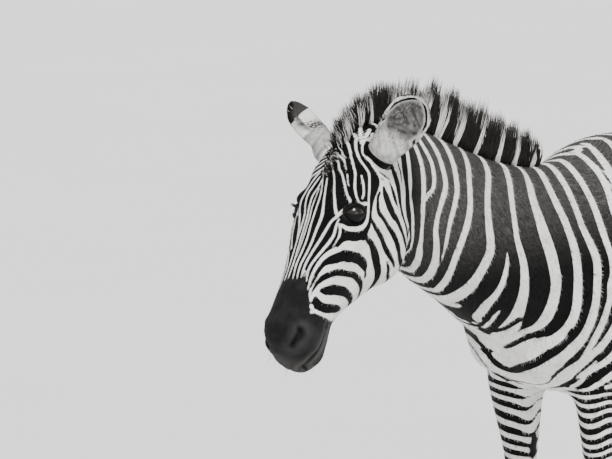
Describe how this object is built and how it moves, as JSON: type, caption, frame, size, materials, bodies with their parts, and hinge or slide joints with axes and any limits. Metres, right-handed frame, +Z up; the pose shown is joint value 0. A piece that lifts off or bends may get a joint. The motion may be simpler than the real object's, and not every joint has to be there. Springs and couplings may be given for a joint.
{
  "type": "plains zebra, still life-size model",
  "caption": "Life-size still model of a standing plains zebra with a hanging head, upright mane, striped coat and tufted tail.",
  "frame": {"origin": "middle of the floor under the animal, on the soles' level", "axes": "the animal faces -Y, its left side is +X, +Z is up"},
  "size_m": [0.5394, 2.2728, 1.4885],
  "materials": {
    "coat": "short glossy hair, black and white stripes",
    "long_hair": "coarse upright hair",
    "horn": "dark hoof horn with fine growth rings",
    "eye": "wet dark brown"
  },
  "bodies": {
    "root": {"head": "coat", "neck": "coat", "trunk": "coat", "foreleg_left": "coat", "foreleg_right": "coat", "hindleg_left": "coat", "hindleg_right": "coat", "ear_left": "coat", "ear_right": "coat", "tail": "coat", "mane": "long_hair", "tail_brush": "long_hair", "hoof_fore_left": "horn", "hoof_fore_right": "horn", "hoof_hind_left": "horn", "hoof_hind_right": "horn", "eye_left": "eye", "eye_right": "eye"}
  },
  "joints": []
}
